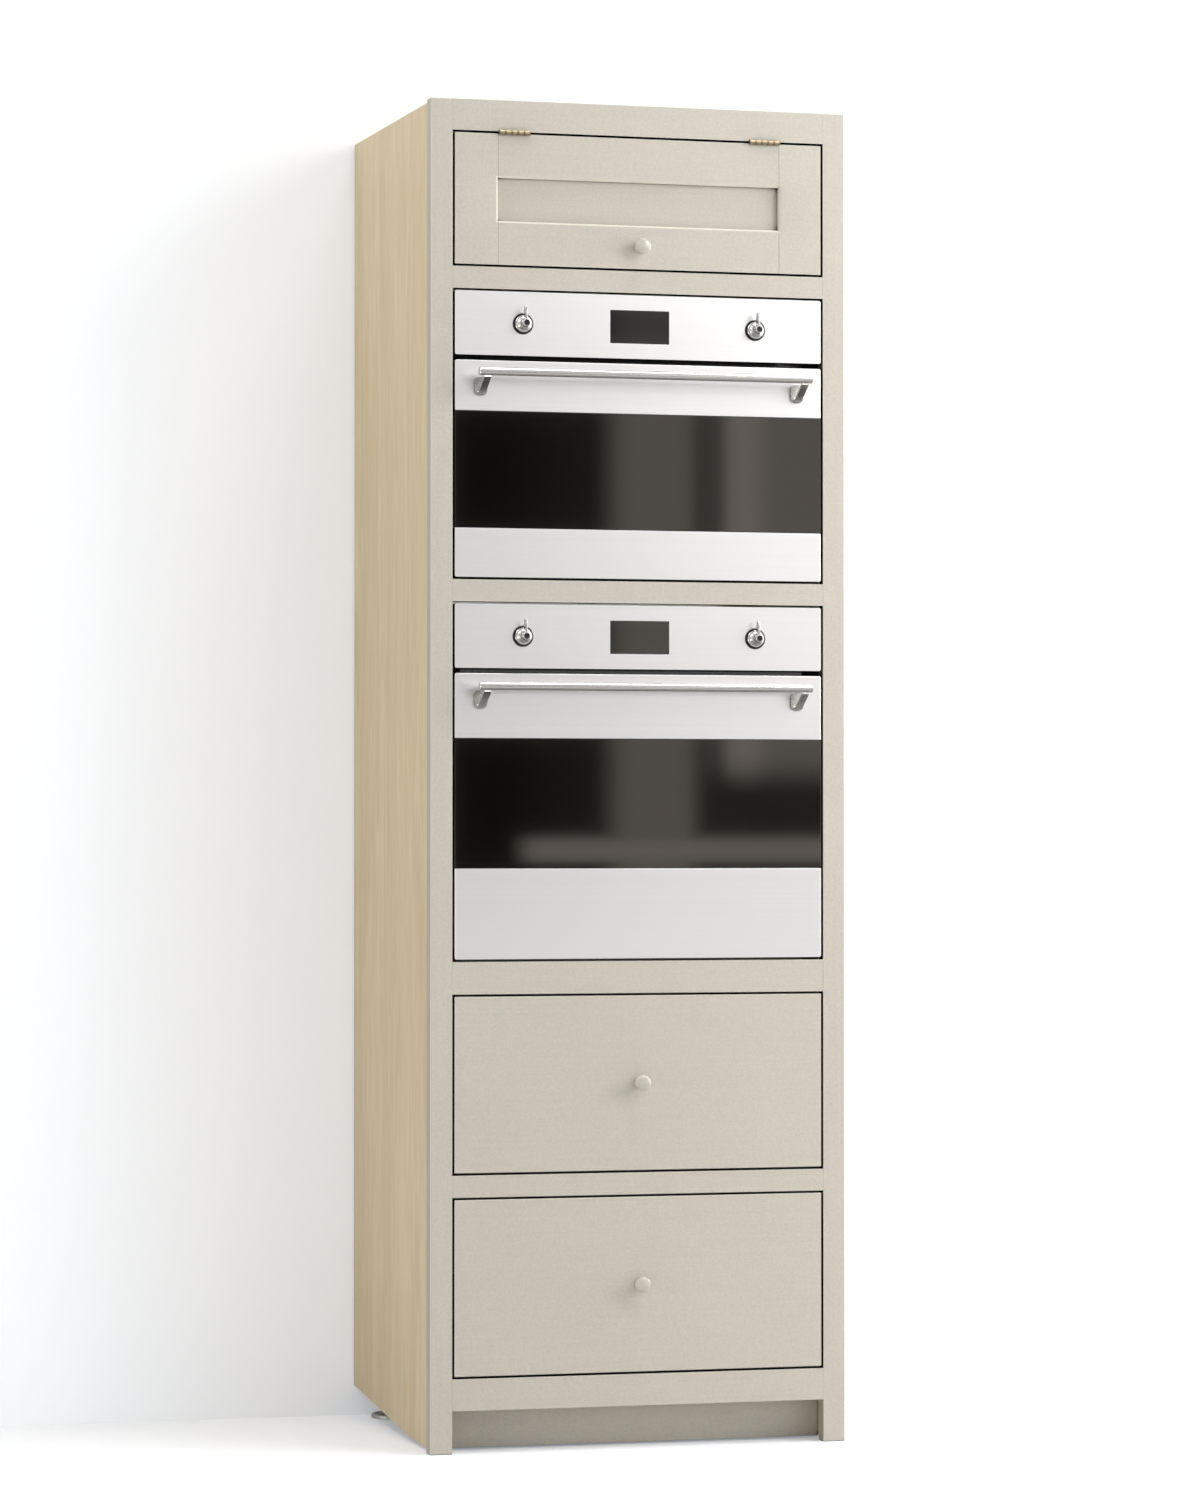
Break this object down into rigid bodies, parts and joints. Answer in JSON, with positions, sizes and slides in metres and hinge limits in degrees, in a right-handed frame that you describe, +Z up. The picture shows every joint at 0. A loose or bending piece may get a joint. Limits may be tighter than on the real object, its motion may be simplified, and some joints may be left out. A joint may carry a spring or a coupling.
{
  "type": "tall oven housing unit",
  "caption": "Tall painted kitchen housing with a flush face frame, holding a lift-up locker door, a compact oven, a single oven and drawers.",
  "frame": {"origin": "on the floor, in the middle of the unit's width and of its depth with the oven handles", "axes": "+X to the viewer's right along the front, +Y from the room towards the wall, +Z up"},
  "size_m": [0.67, 0.5985, 2.085],
  "materials": {
    "painted_timber": "satin hand-painted timber, off-white with a faint brush grain; stands for painted wood",
    "maple_board": "matt maple veneer with fine upright grain",
    "brushed_steel": "pale brushed stainless steel with a fine level grain",
    "polished_steel": "polished",
    "wire": "bright wire",
    "black_glass": "dark tinted glass, nearly opaque",
    "enamel": "dark glossy enamel",
    "galvanised": "dull zinc-coated sheet",
    "brass": "satin pale brass",
    "dark_plastic": "matt black",
    "seal_rubber": "matt black silicone"
  },
  "bodies": {
    "cabinet": {"side_panels": "maple_board", "top_panel": "maple_board", "fixed_shelves": "maple_board", "back_panels": "maple_board", "wall_fixing_rail": "maple_board", "oven_packers": "maple_board", "frame_stiles": "painted_timber", "frame_rails": "painted_timber", "plinth": "painted_timber", "leg_sockets": "dark_plastic", "runner_packers": "maple_board", "cabinet_runners": "galvanised", "hinge_frame_leaves": "brass", "main_oven_casing": "galvanised", "main_oven_cavity": "enamel", "main_control_panel": "brushed_steel", "compact_oven_casing": "galvanised", "compact_oven_cavity": "enamel", "compact_control_panel": "brushed_steel", "clock_displays": "black_glass", "knob_rings": "dark_plastic", "door_seals": "seal_rubber", "shelf_racks": "wire", "fan_covers": "enamel", "grill_elements": "galvanised", "door_hinge_arms": "galvanised"},
    "locker_door": {"locker_door_frame": "painted_timber", "locker_door_panel": "painted_timber", "locker_door_knob": "painted_timber", "hinge_door_leaves": "brass"},
    "upper_drawer": {"upper_drawer_front": "painted_timber", "upper_drawer_box": "maple_board", "upper_drawer_knob": "painted_timber", "upper_drawer_runners": "galvanised"},
    "upper_middles": {"upper_middle_runners": "galvanised"},
    "lower_drawer": {"lower_drawer_front": "painted_timber", "lower_drawer_box": "maple_board", "lower_drawer_knob": "painted_timber", "lower_drawer_runners": "galvanised"},
    "lower_middles": {"lower_middle_runners": "galvanised"},
    "main_door": {"main_door_bands": "brushed_steel", "main_door_glass": "black_glass", "main_door_liner": "galvanised", "main_door_inner_glass": "black_glass", "main_door_handle": "brushed_steel"},
    "compact_door": {"compact_door_bands": "brushed_steel", "compact_door_glass": "black_glass", "compact_door_liner": "galvanised", "compact_door_inner_glass": "black_glass", "compact_door_handle": "brushed_steel"},
    "main_function_control": {"main_function_knob": "polished_steel"},
    "main_heat_control": {"main_heat_knob": "polished_steel"},
    "compact_function_control": {"compact_function_knob": "polished_steel"},
    "compact_heat_control": {"compact_heat_knob": "polished_steel"},
    "main_shelf": {"main_wire_shelf": "wire"},
    "compact_shelf": {"compact_wire_shelf": "wire"},
    "front_left_foot": {"foot_front_left": "galvanised"},
    "front_right_foot": {"foot_front_right": "galvanised"},
    "rear_left_foot": {"foot_rear_left": "galvanised"},
    "rear_right_foot": {"foot_rear_right": "galvanised"}
  },
  "joints": [
    {"name": "locker_door_lift", "type": "hinge", "parent": "cabinet", "child": "locker_door", "pos_m": [0, -0.25485, 2.03525], "axis": [-1, 0, 0], "range_deg": [0, 90]},
    {"name": "upper_drawer_slide", "type": "slide", "parent": "cabinet", "child": "upper_drawer", "axis": [0, -1, 0], "range_m": [0, 0.43]},
    {"name": "upper_middle_slide", "type": "slide", "parent": "cabinet", "child": "upper_middles", "axis": [0, -1, 0], "range_m": [0, 0.215]},
    {"name": "lower_drawer_slide", "type": "slide", "parent": "cabinet", "child": "lower_drawer", "axis": [0, -1, 0], "range_m": [0, 0.43]},
    {"name": "lower_middle_slide", "type": "slide", "parent": "cabinet", "child": "lower_middles", "axis": [0, -1, 0], "range_m": [0, 0.215]},
    {"name": "main_door_drop", "type": "hinge", "parent": "cabinet", "child": "main_door", "pos_m": [0, -0.24175, 0.7805], "axis": [1, 0, 0], "range_deg": [0, 90]},
    {"name": "main_shelf_slide", "type": "slide", "parent": "cabinet", "child": "main_shelf", "axis": [0, -1, 0], "range_m": [0, 0.2832]},
    {"name": "main_function_turn", "type": "hinge", "parent": "cabinet", "child": "main_function_control", "pos_m": [-0.188, -0.25075, 1.257], "axis": [0, 1, 0], "continuous": true},
    {"name": "main_heat_turn", "type": "hinge", "parent": "cabinet", "child": "main_heat_control", "pos_m": [0.188, -0.25075, 1.257], "axis": [0, 1, 0], "range_deg": [0, 270]},
    {"name": "compact_door_drop", "type": "hinge", "parent": "cabinet", "child": "compact_door", "pos_m": [0, -0.24175, 1.3695], "axis": [1, 0, 0], "range_deg": [0, 90]},
    {"name": "compact_shelf_slide", "type": "slide", "parent": "cabinet", "child": "compact_shelf", "axis": [0, -1, 0], "range_m": [0, 0.189]},
    {"name": "compact_function_turn", "type": "hinge", "parent": "cabinet", "child": "compact_function_control", "pos_m": [-0.188, -0.25075, 1.74], "axis": [0, 1, 0], "continuous": true},
    {"name": "compact_heat_turn", "type": "hinge", "parent": "cabinet", "child": "compact_heat_control", "pos_m": [0.188, -0.25075, 1.74], "axis": [0, 1, 0], "range_deg": [0, 270]},
    {"name": "front_left_foot_turn", "type": "hinge", "parent": "cabinet", "child": "front_left_foot", "pos_m": [-0.275, -0.13975, 0], "axis": [0, 0, 1], "continuous": true},
    {"name": "front_right_foot_turn", "type": "hinge", "parent": "cabinet", "child": "front_right_foot", "pos_m": [0.275, -0.13975, 0], "axis": [0, 0, 1], "continuous": true},
    {"name": "rear_left_foot_turn", "type": "hinge", "parent": "cabinet", "child": "rear_left_foot", "pos_m": [-0.275, 0.24925, 0], "axis": [0, 0, 1], "continuous": true},
    {"name": "rear_right_foot_turn", "type": "hinge", "parent": "cabinet", "child": "rear_right_foot", "pos_m": [0.275, 0.24925, 0], "axis": [0, 0, 1], "continuous": true}
  ],
  "couplings": [
    {"joint": "upper_middle_slide", "follows": "upper_drawer_slide", "ratio": 0.5},
    {"joint": "lower_middle_slide", "follows": "lower_drawer_slide", "ratio": 0.5},
    {"joint": "main_shelf_slide", "follows": "main_door_drop", "m_per_rad": 0.18},
    {"joint": "compact_shelf_slide", "follows": "compact_door_drop", "m_per_rad": 0.12}
  ]
}
